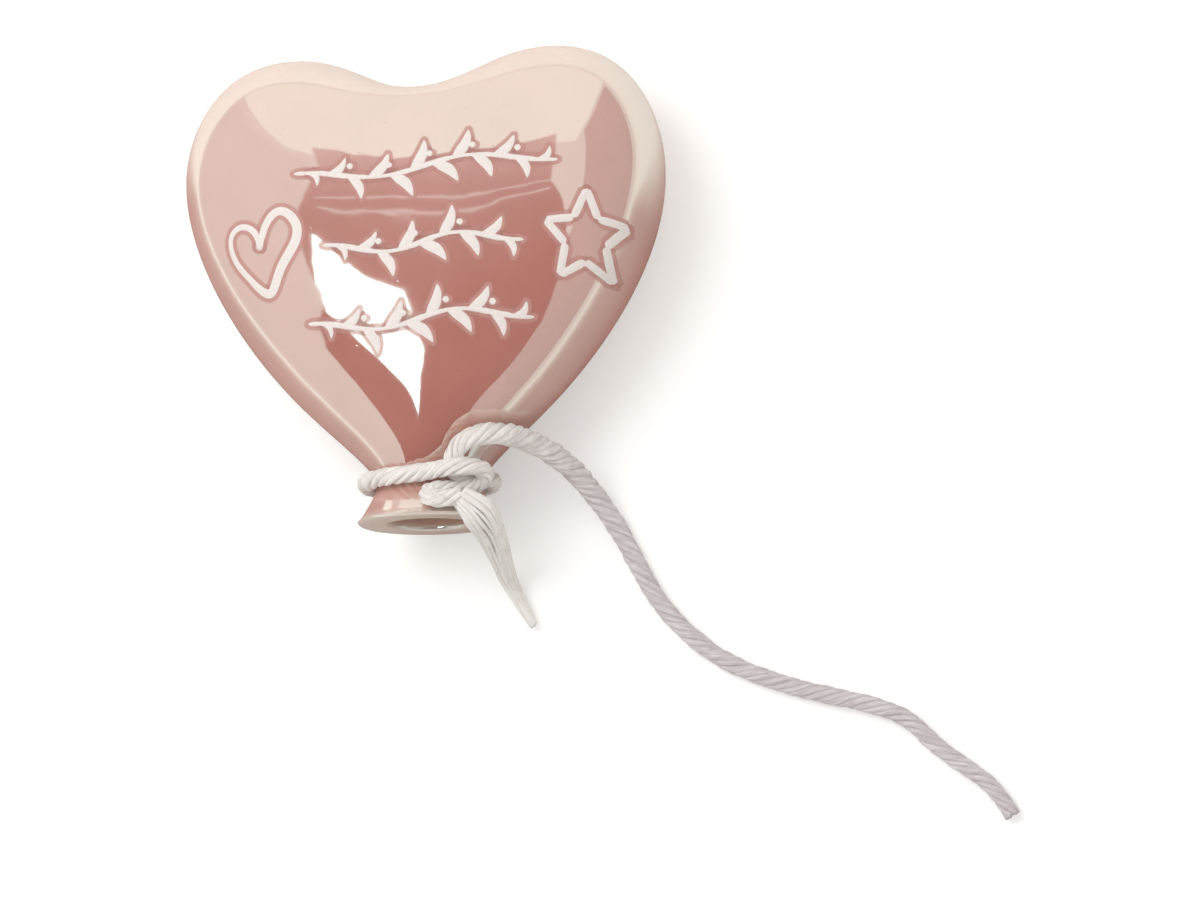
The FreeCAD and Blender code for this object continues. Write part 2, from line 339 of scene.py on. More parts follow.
def over_the_pole(places, knots):
    """The curve through the knots, carried on mirrored past the notch."""
    mirrored = (knots[:-1] * (-1, 1))[::-1]
    further = 2 - places[:-1][::-1]
    return smooth_curve(np.concatenate([places, further]),
                        np.concatenate([knots, mirrored]))


side_knots = outline(SIDE, HALF_WIDTH, LOBE_TOP)
face_knots = outline(FACE, HALF_DEPTH, NOTCH_BOTTOM)
chords = np.hypot(*np.diff(side_knots, axis=0).T)
PLACES = np.concatenate([[0], np.cumsum(chords)]) / chords.sum()
WAIST = PLACES[len(COLLAR)]
side_at = over_the_pole(PLACES, side_knots)
face_at = over_the_pole(PLACES, face_knots)


def heart_form(place, turn):
    """Points of the balloon's outside before its back is made flat.

    x = side radius (cos t - k cos 3t)/(1 - k)
    y = side y cos^2 t + face y sin^2 t
    z = axis height + face radius (sin t + k sin 3t)/(1 - k)
    with k = squareness times sin^2 of the way from waist to notch.
    """
    place, turn = np.broadcast_arrays(place, turn)
    side, face = side_at(place), face_at(place)
    way = np.clip((place - WAIST) / (1 - WAIST), 0, 1)
    k = SQUARENESS * np.sin(np.pi * way) ** 2
    c, s = np.cos(turn), np.sin(turn)
    x = side[..., 0] * (c - k * np.cos(3 * turn)) / (1 - k)
    y = side[..., 1] * c ** 2 + face[..., 1] * s ** 2
    z = AXIS_HEIGHT + face[..., 0] * (s + k * np.sin(3 * turn)) / (1 - k)
    return np.stack([x, y, z], -1)


def heart_normal(place, turn):
    """Outward normal: cross product of the two small steps on the form."""
    step = 1e-4
    on = heart_form(np.minimum(place + step, 0.9999), turn)
    back = heart_form(np.minimum(place, 0.9998) - step, turn)
    left = heart_form(place, turn + step)
    right = heart_form(place, turn - step)
    return unit(np.cross(on - back, left - right))


def level(points, floor, rounding):
    """Press what lies under the floor flat, with a soft edge.

    Height over the floor h becomes (h + r)^2 / 4r between -r and r.
    """
    h = points[..., 2] - floor
    soft = (h + rounding) ** 2 / (4 * rounding)
    pressed = np.where(h > rounding, h, np.where(h < -rounding, 0.0, soft))
    return np.concatenate([points[..., :2], floor + pressed[..., None]], -1)


def round_ring(radius, y):
    """One circle about the balloon's own axis."""
    turn = TAU * np.arange(SPOKES) / SPOKES
    return np.stack([radius * np.cos(turn), np.full(SPOKES, y),
                     AXIS_HEIGHT + radius * np.sin(turn)], -1)


def shell_rings():
    """Rings from the notch down the outside, over the lip and back inside.

    With them comes how much of the cream painted reflection each ring takes, 0 to 1.
    """
    turn = TAU * np.arange(SPOKES) / SPOKES
    lip_start = 0.012
    body = 1 - (1 - WAIST) * np.linspace(0.004, 1, 170)
    collar = np.linspace(WAIST, lip_start, 30)[1:]
    places = np.concatenate([body, collar])
    outside = level(heart_form(places[:, None], turn), 0.0, BACK_ROUND)
    corner = MOUTH_RADIUS - LIP_ROUND
    bends = np.radians(np.linspace(20, 90, 7))
    lip = [round_ring(corner - 0.1 * MM + LIP_ROUND * math.cos(b),
                      MOUTH_PLACE_Y + LIP_ROUND * (1 - math.sin(b)))
           for b in bends]
    face = [round_ring(r, MOUTH_PLACE_Y)
            for r in np.linspace(corner - 0.6 * MM, BORE_RADIUS + 1.1 * MM, 5)]
    inner = [round_ring(BORE_RADIUS + THROAT_ROUND * (1 - math.sin(b)),
                        MOUTH_PLACE_Y + THROAT_ROUND * (1 - math.cos(b)))
             for b in np.radians(np.linspace(15, 90, 6))]
    throat = WAIST_PLACE_Y + WALL
    bore = [round_ring(BORE_RADIUS, y)
            for y in np.linspace(MOUTH_PLACE_Y + 1.6 * MM, throat, 9)]
    hollow = body[::-1][np.linspace(16, 168, 60).astype(int)]
    inside = heart_form(hollow[:, None], turn)
    inside = inside - WALL * heart_normal(hollow[:, None], turn[None])
    inside = level(inside, WALL, BACK_ROUND)
    rings = [*outside, *lip, *face, *inner, *bore, *inside]
    # Share of the cream painted reflection: none on the body, fading in over the last outside
    # rings, full on the lip, face and throat, half in the bore.
    rim = np.concatenate([np.zeros(len(outside) - FADE_RINGS),
                          np.linspace(0, 0.5, FADE_RINGS),
                          np.ones(len(lip) + len(face) + len(inner)),
                          np.full(len(bore), 0.5), np.zeros(len(inside))])
    return np.array(rings), rim


def add_shell(material):
    """The hollow casting with its mouth and the nail hole in its back."""
    rings, rim = shell_rings()
    count = len(rings)
    points = rings.reshape(-1, 3)
    notch = [0.0, NOTCH_BOTTOM, AXIS_HEIGHT]
    crown = [0.0, NOTCH_BOTTOM - WALL, AXIS_HEIGHT]
    points = np.concatenate([points, [notch, crown]])
    faces = grid_faces(count, SPOKES, closed=True)
    here = np.arange(SPOKES)
    after = (here + 1) % SPOKES
    last = (count - 1) * SPOKES
    top = np.stack([np.full(SPOKES, count * SPOKES), after, here], -1)
    end = np.stack([np.full(SPOKES, count * SPOKES + 1), last + here, last + after], -1)
    faces = [*faces, *top, *end]
    # Each point's share of the cream painted reflection on the mouth.
    marks = np.concatenate([np.repeat(rim, SPOKES), [0, 0]])
    shell = make_piece("ceramic_shell", points, faces, material, rim=marks)
    drill_hanger(shell, material)
    return shell


SHARP_FROM_DEG = 50


def drill_hanger(shell, material):
    """Cut the nail hole, a little wider at the glazed outer edge.

    The cutter is a lathe form: its radius falls from the flared edge.
    """
    profile = np.array([(5.0, -2.0), (5.0, -0.3), (4.55, 0.0), (4.2, 0.25),
                        (4.0, 0.7), (4.0, 5.0)]) * MM
    sides = 96
    turn = TAU * np.arange(sides) / sides
    radius, height = profile[:, :1], profile[:, 1:]
    points = np.stack([radius * np.cos(turn), HANGER_PLACE_Y + radius * np.sin(turn),
                       np.broadcast_to(height, (len(profile), sides))], -1).reshape(-1, 3)
    faces = list(grid_faces(len(profile), sides, closed=True))
    faces += [np.arange(sides)[::-1], (len(profile) - 1) * sides + np.arange(sides)]
    cutter = make_piece("hanger_cutter", points, faces, material)
    hole = shell.modifiers.new("hanger", "BOOLEAN")
    hole.operation = "DIFFERENCE"
    hole.solver = "EXACT"
    hole.object = cutter
    graph = bpy.context.evaluated_depsgraph_get()
    drilled = bpy.data.meshes.new_from_object(shell.evaluated_get(graph))
    shell.modifiers.clear()
    shell.data = drilled
    bpy.data.objects.remove(cutter)
    drilled.set_sharp_from_angle(angle=math.radians(SHARP_FROM_DEG))


# ------------------------------------------------------------------- print
FILM_LIFT, INK_LIFT, INK_CROWN = 0.03 * MM, 0.05 * MM, 0.05 * MM
FILM_MARGIN = 1.3 * MM
EDGE_DROP = 0.04 * MM
END_ROWS = 6


def on_the_face(flat, lift):
    """Points of the face straight above flat (x, y), lifted off the glaze.

    The nearest of a coarse set of samples starts Newton's method, which
    solves form(place, turn) = (x, y) for all points at once, in short steps
    that stay on the face's side of the outline.
    """
    place, turn = (g.ravel() for g in np.meshgrid(
        np.linspace(WAIST, 0.97, 50), np.linspace(0.1, math.pi - 0.1, 70)))
    samples = heart_form(place, turn)[:, :2]
    far = ((flat[:, None] - samples[None]) ** 2).sum(-1)
    nearest = far.argmin(1)
    place, turn = place[nearest], turn[nearest]
    step = 1e-5
    for _ in range(16):
        miss = heart_form(place, turn)[:, :2] - flat
        a = (heart_form(place + step, turn)[:, :2] - flat - miss) / step
        b = (heart_form(place, turn + step)[:, :2] - flat - miss) / step
        size = a[:, 0] * b[:, 1] - a[:, 1] * b[:, 0]
        further = (miss[:, 0] * b[:, 1] - miss[:, 1] * b[:, 0]) / size
        round_it = (a[:, 0] * miss[:, 1] - a[:, 1] * miss[:, 0]) / size
        place = np.clip(place - np.clip(further, -0.03, 0.03), WAIST, 0.99)
        turn = np.clip(turn - np.clip(round_it, -0.1, 0.1), 0.03, math.pi - 0.03)
    normal = heart_normal(place, turn)
    return heart_form(place, turn) + normal * np.broadcast_to(lift, len(flat))[:, None]


def brush(points, half_widths, rows=60):
    """A stroke as a smooth path and its half width at even places."""
    points = np.array(points, float) * MM
    half_widths = np.array(half_widths, float) * MM
    places = np.arange(len(points), dtype=float)
    at = np.linspace(0, places[-1], rows)
    if len(points) == 2:
        share = at[:, None]
        path = points[0] * (1 - share) + points[1] * share
    else:
        path = smooth_curve(places, points)(at)
    width = np.interp(at, np.linspace(0, places[-1], len(half_widths)), half_widths)
    return path, width


def strip(path, width, columns, ends):
    """Rows across a path: path + width * v * sideways, and the row's excess.

    The path runs on straight for a length ends past both of its tips.
    """
    along = unit(np.gradient(path, axis=0))
    if ends:
        count = END_ROWS
        more = np.linspace(1, 0, count, endpoint=False)[:, None] * ends
        before = path[0] - along[0] * more
        after = path[-1] + along[-1] * more[::-1]
        excess = np.concatenate([more[:, 0], np.zeros(len(path)), more[::-1, 0]])
        path = np.concatenate([before, path, after])
        along = np.concatenate([np.repeat(along[:1], count, 0), along,
                                np.repeat(along[-1:], count, 0)])
        width = np.concatenate([np.repeat(width[:1], count), width,
                                np.repeat(width[-1:], count)])
    else:
        excess = np.zeros(len(path))
    sideways = np.stack([-along[:, 1], along[:, 0]], -1)
    v = np.linspace(-1, 1, columns)
    reach = width + (FILM_MARGIN if ends else 0.0)
    offset = v[None] * reach[:, None]
    flat = path[:, None] + sideways[:, None] * offset[..., None]
    margin = np.hypot(offset, excess[:, None]) - width[:, None]
    return flat, margin, v


def add_print(name, strokes, material):
    """White strokes with a low crown, each on its own pink film."""
    points, faces, margins, first = [], [], [], 0
    for path, width in strokes:
        for columns, ends in ((13, FILM_MARGIN), (7, 0.0)):
            flat, margin, v = strip(path, width, columns, ends)
            rows = len(flat)
            if ends:
                lift = FILM_LIFT
            else:
                lift = np.tile(INK_LIFT + INK_CROWN * (1 - v ** 2), rows)
                lift = lift - np.tile(np.where(np.abs(v) > 0.99, EDGE_DROP, 0.0), rows)
                margin = np.full_like(margin, -1.0)
            points.append(on_the_face(flat.reshape(-1, 2), lift))
            faces += list(grid_faces(rows, columns, first=first)[:, ::-1])
            margins.append(margin.ravel())
            first += rows * columns
    piece = make_piece(name, np.concatenate(points), faces, material,
                       margin=np.concatenate(margins))
    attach(piece, "root")
    return piece


def turned(points, centre, degrees=0.0, scale=(1.0, 1.0)):
    """Points scaled, turned and moved to a centre, in millimetres."""
    a = math.radians(degrees)
    points = np.array(points, float) * scale
    turn = np.array([[math.cos(a), math.sin(a)], [-math.sin(a), math.cos(a)]])
    return points @ turn + centre


def round_ends(rows, half_width, share=0.08):
    """Half widths of a stroke of one thickness with rounded tips."""
    at = np.linspace(0, 1, rows)
    tip = np.clip(np.minimum(at, 1 - at) / share, 0, 1)
    return half_width * np.sqrt(np.clip(1 - (1 - tip) ** 2, 0.02, 1))


def drawn_heart():
    """An open heart in one movement of a brush, thin left and full right."""
    outline_points = [(-0.6, 1.5), (-1.6, 4.6), (-4.4, 6.0), (-6.9, 3.9), (-6.2, -0.6),
                      (-3.2, -4.8), (0.7, -8.0), (3.4, -3.6), (6.9, 1.6), (7.2, 5.8),
                      (4.2, 8.3), (1.1, 6.0), (-0.7, 1.6)]
    half_widths = [0.55, 0.6, 0.55, 0.45, 0.5, 0.55, 0.85, 0.9, 0.95, 0.9, 0.8, 0.7, 0.75]
    path = turned(outline_points, (-30.0, 4.6), 2.0)
    return [brush(path, half_widths, 120)]


STAR_TIP, STAR_NOTCH = 9.6, 4.7


def drawn_star():
    """A five-pointed star outline of ten straight strokes with round tips."""
    strokes = []
    turns = np.radians(90 + 36 * np.arange(11))
    radii = np.where(np.arange(11) % 2 == 0, STAR_TIP, STAR_NOTCH)
    corners = np.stack([radii * np.cos(turns), radii * np.sin(turns)], -1)
    corners = turned(corners, (36.0, 4.9), -4.0, (0.86, 1.0))
    for a, b in zip(corners, corners[1:]):
        path, _ = brush([a, b], [1, 1], 24)
        strokes.append((path, round_ends(24, 0.72 * MM, 0.10)))
    return strokes


def leaf(root, direction, length, bend, half_width):
    """One curved leaf: thin at both tips, fullest at its middle."""
    a = math.radians(direction)
    ahead = np.array([math.cos(a), math.sin(a)])
    aside = np.array([-ahead[1], ahead[0]])
    at = np.linspace(0, 1, 5)
    points = [np.array(root) + ahead * length * t + aside * bend * math.sin(math.pi * t)
              for t in at]
    path, _ = brush(points, [1, 1], 26)
    share = np.linspace(0, 1, 26)
    return path, half_width * MM * np.sin(np.pi * share ** 0.8) ** 0.75 + 0.06 * MM


def dot(place, radius):
    """A round spot of enamel."""
    path, _ = brush([np.array(place) - (radius, 0), np.array(place) + (radius, 0)], [1, 1], 17)
    at = np.linspace(-1, 1, 17)
    return path, radius * MM * np.sqrt(np.clip(1 - at ** 2, 0.01, 1))


def sprig(centre, length, leaves, slope):
    """A running leafy sprig: a slow wave with leaves on either side of it.

    y = height sin(pi turns of x); each leaf leaves the stem at a slant, the
    leaves grow shorter towards both tips, and spots lie between them.
    """
    at = np.linspace(-1, 1, 15)
    stem = np.stack([at * length / 2, 1.3 * np.sin(1.5 * np.pi * at)], -1)
    path, _ = brush(turned(stem, centre, slope), [1, 1], 150)
    share = np.linspace(0, 1, len(path))
    swell = 0.36 + 0.22 * np.sin(3 * np.pi * share) ** 2
    strokes = [(path, round_ends(len(path), 1.0, 0.03) * swell * MM)]
    ahead = np.degrees(np.arctan2(*np.gradient(path, axis=0).T[::-1]))
    for number in range(leaves):
        spot = (number + 0.7) / (leaves + 0.6)
        row = int(spot * (len(path) - 1))
        side = 1 if number % 2 else -1
        full = math.sin(math.pi * spot) ** 0.4
        root = path[row] / MM
        strokes.append(leaf(root, ahead[row] + 52 * side, 6.6 * full, -0.9 * side, 1.05 * full))
        if number % 2 == 0 and 0.15 < spot < 0.9:
            aside = math.radians(ahead[row] + 90)
            away = np.array([math.cos(aside), math.sin(aside)])
            strokes.append(dot(root + 2.1 * away, 0.62))
    return strokes


def add_prints(material):
    """The heart, the star and three leafy sprigs across the face."""
    add_print("printed_heart", drawn_heart(), material)
    add_print("printed_star", drawn_star(), material)
    add_print("printed_sprig_top", sprig((4.0, 20.6), 54.0, 12, 3.0), material)
    add_print("printed_sprig_middle", sprig((3.2, 5.0), 41.0, 9, 2.5), material)
    add_print("printed_sprig_bottom", sprig((2.0, -10.4), 46.0, 10, 2.5), material)


# ------------------------------------------------------------------- twine
def line_of(points):
    """Points along the smooth open line that control points (mm) shape."""
    data = bpy.data.curves.new("line", "CURVE")
    data.dimensions = "3D"
    data.resolution_u = 16
    spline = data.splines.new("NURBS")
    spline.points.add(len(points) - 1)
    control = np.c_[np.array(points) * MM, np.ones(len(points))]
    spline.points.foreach_set("co", control.ravel())
    spline.order_u = 3
    spline.use_endpoint_u = True
    carrier = bpy.data.objects.new("line", data)
    bpy.context.scene.collection.objects.link(carrier)
    mesh = bpy.data.meshes.new_from_object(carrier)
    found = np.empty(3 * len(mesh.vertices))
    mesh.vertices.foreach_get("co", found)
    bpy.data.objects.remove(carrier)
    return found.reshape(-1, 3)


def evenly(line, step):
    """The same line with points at even steps of its own length."""
    gone = np.concatenate([[0], np.cumsum(np.linalg.norm(np.diff(line, axis=0), axis=1))])
    places = np.linspace(0, gone[-1], max(8, round(gone[-1] / step)))
    return np.stack([np.interp(places, gone, line[:, i]) for i in range(3)], -1), places


def frames(line):
    """Directions along and across a line that don't spin about it.

    Each point has any frame; the turn from one frame to the next, after the
    first is carried on by the bend between them, is summed and undone.
    """
    along = unit(np.gradient(line, axis=0))
    pick = np.eye(3)[np.argmin(np.abs(along), axis=1)]
    one = unit(np.cross(along, pick))
    two = np.cross(along, one)
    before, after = along[:-1], along[1:]
    axis = np.cross(before, after)
    cosine = np.sum(before * after, axis=1)[:, None]
    carried = one[:-1]
    carried = (carried * cosine + np.cross(axis, carried)
               + axis * np.sum(axis * carried, axis=1)[:, None] / (1 + cosine))
    turn = np.arctan2(np.sum(carried * two[1:], axis=1),
                      np.sum(carried * one[1:], axis=1))
    total = np.concatenate([[0], np.cumsum(turn)])[:, None]
    side = np.cos(total) * one + np.sin(total) * two
    return along, side, np.cross(along, side)


class Threads:
    """Many thin tubes gathered into one mesh."""

    def __init__(self):
        self.points, self.faces = [], []
        self.marks = {key: [] for key in ("along", "around", "yarn", "groove_shade", "stray")}
        self.count = 0

    def add(self, line, radius, sides, yarn=0.0, stray=0.0, inward=None):
        """A tube round a line: centre + r (cos a side + sin a up), closed.

        Where it would reach under the table it is pressed flat.
        """
        along, side, up = frames(line)
        if inward is not None:
            side = unit(inward - along * np.sum(inward * along, axis=1)[:, None])
            up = np.cross(along, side)
        radius = np.broadcast_to(radius, len(line))[:, None, None]
        turn = TAU * np.arange(sides) / sides
        c, s = np.cos(turn)[None, :, None], np.sin(turn)[None, :, None]
        tube = line[:, None] + radius * (c * side[:, None] + s * up[:, None])
        tube[..., 2] = np.maximum(tube[..., 2], 0.0)
        rows = len(line)
        first = self.count
        self.points.append(np.concatenate([tube.reshape(-1, 3), [line[0], line[-1]]]))
        faces = grid_faces(rows, sides, closed=True, first=first)
        here = np.arange(sides)
        after = (here + 1) % sides
        last = first + (rows - 1) * sides
        caps = rows * sides + first
        start = np.stack([np.full(sides, caps), first + here, first + after], -1)
        end = np.stack([np.full(sides, caps + 1), last + after, last + here], -1)
        self.faces += [*faces, *start[:, ::-1], *end[:, ::-1]]
        gone = np.concatenate([[0], np.cumsum(np.linalg.norm(np.diff(line, axis=0), axis=1))])
        size = len(tube.reshape(-1, 3)) + 2
        # Painted shade mark: 1 on the side of a laid yarn that faces the cord's middle, where the
        # grooves lie in shade.
        inside = ease(np.cos(turn), 0.1, 1.0) if inward is not None else np.zeros(sides)
        self.marks["along"].append(np.concatenate([np.repeat(gone, sides), [0, gone[-1]]]))
        self.marks["around"].append(np.concatenate([np.tile(turn / TAU, rows), [0, 0]]))
        self.marks["groove_shade"].append(np.concatenate([np.tile(inside, rows), [0, 0]]))
        self.marks["yarn"].append(np.full(size, yarn))
        self.marks["stray"].append(np.full(size, stray))
        self.count += size

    def piece(self, name, material):
        """The mesh object of all the tubes."""
        marks = {key: np.concatenate(values) for key, values in self.marks.items()}
        return make_piece(name, np.concatenate(self.points), self.faces, material, **marks)


TWINE_RADIUS = 1.8 * MM
YARNS = 6
YARN_REACH, YARN_RADIUS = 1.17 * MM, 0.69 * MM
FUZZ_RADIUS, FUZZ_FLOOR = 0.035 * MM, 0.06 * MM
FIBRES = 56
LINE_STEP = 0.4 * MM
LAY_LENGTH = 15.0 * MM


def lay_yarns(threads, line, distance, start_turn=0.0, taper=1.0):
    """Yarns laid to the left round a line.

    A yarn's centre is line + h (cos w side - sin w up), where w grows by one
    turn in each lay length and h and the yarn's own radius wander a little.
    """
    along, side, up = frames(line)
    taper = np.broadcast_to(taper, len(line))
    for yarn in range(YARNS):
        wander = 0.10 * np.sin(distance / (6.1 * MM) + 2.3 * yarn + start_turn)
        turn = TAU * (yarn / YARNS + distance / LAY_LENGTH) + start_turn + wander
        stout = 1 + 0.09 * math.sin(2.1 * yarn) + 0.06 * np.sin(distance / (4.3 * MM) + 1.7 * yarn)
        away = np.cos(turn)[:, None] * side - np.sin(turn)[:, None] * up
        centre = line + away * (taper * YARN_REACH)[:, None]
        threads.add(centre, YARN_RADIUS * stout * taper, 12, yarn=yarn + start_turn,
                    inward=-away)


def add_fuzz(threads, line, count, brown=0.15):
    """Stray fibres: thin arcs that leave the surface and lie back on it."""
    along, side, up = frames(line)
    rows = np.linspace(0, 1, 8)
    for _ in range(count):
        at = RANDOM.integers(4, len(line) - 4)
        turn, lean = RANDOM.uniform(0, TAU), RANDOM.uniform(-1, 1)
        length = RANDOM.uniform(1.2, 3.6) * MM
        lift = RANDOM.uniform(0.1, 0.55) * MM
        swirl = turn + RANDOM.uniform(-0.9, 0.9) * rows
        slant = unit(along[at] + 0.3 * lean * side[at])
        base = line[at] + np.outer((rows - 0.5) * length, slant)
        out = np.cos(swirl)[:, None] * side[at] + np.sin(swirl)[:, None] * up[at]
        height = TWINE_RADIUS * 0.92 + lift * np.sin(np.pi * rows * 0.8)
        tube = base + out * height[:, None]
        tube[:, 2] = np.maximum(tube[:, 2], FUZZ_FLOOR)
        threads.add(tube, FUZZ_RADIUS * (1.15 - rows), 4,
                    stray=float(RANDOM.random() < brown))


# Control points of the two free ends, in millimetres.
LOW = 1.8
LONG_END = [(7.3, -38.8, 31.6), (8.7, -35.6, 33.7), (12.8, -33.7, 33.4),
            (17.3, -33.0, 29.4), (21.6, -33.7, 22.8), (25.7, -35.6, 15.6),
            (29.2, -38.6, 9.2), (32.7, -43.4, 4.4), (36.5, -49.4, LOW),
            (40.2, -57.0, LOW), (44.5, -65.2, LOW), (50.4, -72.0, LOW),
            (57.0, -77.4, LOW), (64.5, -81.1, LOW), (72.8, -84.0, LOW),
            (80.2, -86.0, LOW), (87.9, -87.9, LOW), (95.3, -90.9, LOW),
            (100.6, -96.8, LOW), (107.0, -101.6, LOW), (112.3, -105.6, LOW),
            (115.5, -111.3, LOW)]
SHORT_END = [(8.8, -46.0, 32.2), (11.6, -48.3, 31.7), (13.3, -50.7, 28.8),
             (13.6, -52.6, 22.6), (13.2, -54.3, 15.8), (13.0, -56.3, 9.4),
             (13.3, -59.0, 4.6), (14.6, -62.2, LOW), (16.5, -65.9, LOW),
             (18.4, -69.2, LOW)]
# The half knot: from the long end under the crossing, once round the neck,
# over the crossing, round and out below it to the short end.
UNDER_CROSSING = [(7.3, -38.8, 31.6), (6.9, -40.6, 29.6), (9.6, -41.6, 27.3)]
OVER_CROSSING = [(3.2, -40.5, 31.6), (7.2, -40.1, 33.1), (10.9, -39.8, 32.0),
                 (13.6, -40.3, 29.2), (12.9, -42.6, 27.0), (8.9, -44.0, 28.4),
                 (4.8, -44.3, 31.2), (2.0, -44.9, 32.9), (3.4, -46.6, 34.0),
                 (6.6, -46.4, 33.4), (8.8, -46.0, 32.2)]
RING_RADIUS, RING_HEIGHT, RING_PLACE_Y = 13.15, 18.0, -40.9


def ring_points():
    """Control points round the back of the neck, from right to left."""
    turns = np.radians(np.linspace(22, -258, 15))
    x = RING_RADIUS * np.cos(turns)
    z = RING_HEIGHT + RING_RADIUS * np.sin(turns)
    y = np.full(len(turns), RING_PLACE_Y)
    return list(zip(x, y, z))


def add_twine(material, greyed_material, tail_material):
    """The knot round the neck, the long laid end and the unlaid short end."""
    knot_line, gone = evenly(line_of(UNDER_CROSSING + ring_points() + OVER_CROSSING), LINE_STEP)
    threads = Threads()
    lay_yarns(threads, knot_line, gone, start_turn=0.4)
    add_fuzz(threads, knot_line, 70, brown=0.4)
    knot = threads.piece("twine_knot", material)

    long_line, gone = evenly(line_of(LONG_END), LINE_STEP)
    threads = Threads()
    loosened = np.interp(gone / MM, [0, 6, 16, 38, 62, 120, 158],
                         [1.0, 1.12, 1.28, 1.28, 1.03, 0.97, 0.90])
    lay_yarns(threads, long_line, gone, taper=loosened)
    add_fuzz(threads, long_line, 90)
    long_end = threads.piece("twine_long_end", greyed_material)

    short_line, gone = evenly(line_of(SHORT_END), LINE_STEP)
    threads = Threads()
    unlaid_fibres(threads, short_line, gone)
    short_end = threads.piece("twine_short_end", tail_material)

    for piece in (knot, long_end, short_end):
        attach(piece, "root")
    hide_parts("cord_neck_turn", "cord_knot")
    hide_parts("cord_long_end")
    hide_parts("cord_short_end")


def unlaid_fibres(threads, line, gone):
    """Yarns that have come untwisted: two flat bunches that join at the tip.

    A fibre's centre is line + width * place across + a little height, with a
    width that opens quickly, narrows to the middle and ends in a cut point.
    """
    along, side, up = frames(line)
    share = gone / gone[-1]
    sky = np.array([0.25, -0.45, 0.86])
    across = unit(np.cross(along, sky))
    height = np.cross(across, along)
    width = np.interp(share, [0, 0.12, 0.35, 0.7, 1], [1.7, 3.0, 2.4, 1.6, 0.55]) * MM
    split = np.interp(share, [0, 0.15, 0.5, 1], [0.1, 0.45, 0.35, 0.0])
    for fibre in range(FIBRES):
        lane = RANDOM.uniform(-1, 1)
        bunch = math.copysign(1, lane)
        waves, phase = RANDOM.uniform(0.4, 1.3), RANDOM.uniform(0, TAU)
        weave = 0.15 * np.sin(TAU * share * waves + phase)
        place = lane * (1 - 0.35 * split) + bunch * 0.35 * split + weave
        crown = np.sqrt(np.clip(1.15 - place ** 2, 0.08, 1))
        layer = RANDOM.uniform(-0.9, 0.9)
        centre = (line + across * (place * width)[:, None]
                  + height * (layer * crown * np.minimum(width, 1.5 * MM))[:, None])
        end = len(line) - RANDOM.integers(0, 4)
        stout = np.interp(share[:end], [0, 0.7, 1], [0.46, 0.40, 0.30]) * MM
        threads.add(centre[:end], stout, 7, yarn=float(fibre))


# ------------------------------------------------------------------- scene
def card(name, corners, strength, tint=(1.0, 1.0, 1.0), rise=None):
    """A flat studio card that only the glaze sees.

    With rise = (low y, high y, more) its light grows by more along Y.
    """
    f = Finish(name)
    if rise:
        y = f.node("ShaderNodeSeparateXYZ", {"Vector": f.place()}, out="Y")
        strength = strength + rise[2] * f.between(y, rise[0], rise[1])
    light = f.node("ShaderNodeEmission", {"Color": (*tint, 1), "Strength": strength})
    sheet = make_piece(name, np.array(corners, float), [range(len(corners))],
                       f.surface(light), smooth=False)
    sheet.visible_camera = False
    sheet.visible_diffuse = False
    sheet.visible_shadow = False
    sheet.visible_transmission = False
    return sheet


def overhead(height, corners):
    """Corners on a level plane at a height."""
    return [(x, y, height) for x, y in corners]


WHITE = (1.0, 1.0, 1.0, 1.0)
HORIZON = (0.8, 0.8, 0.8, 1.0)
TABLE_GLOW, TABLE_GAP = 0.30, 0.3 * MM
ROOM_LIGHT = 0.80


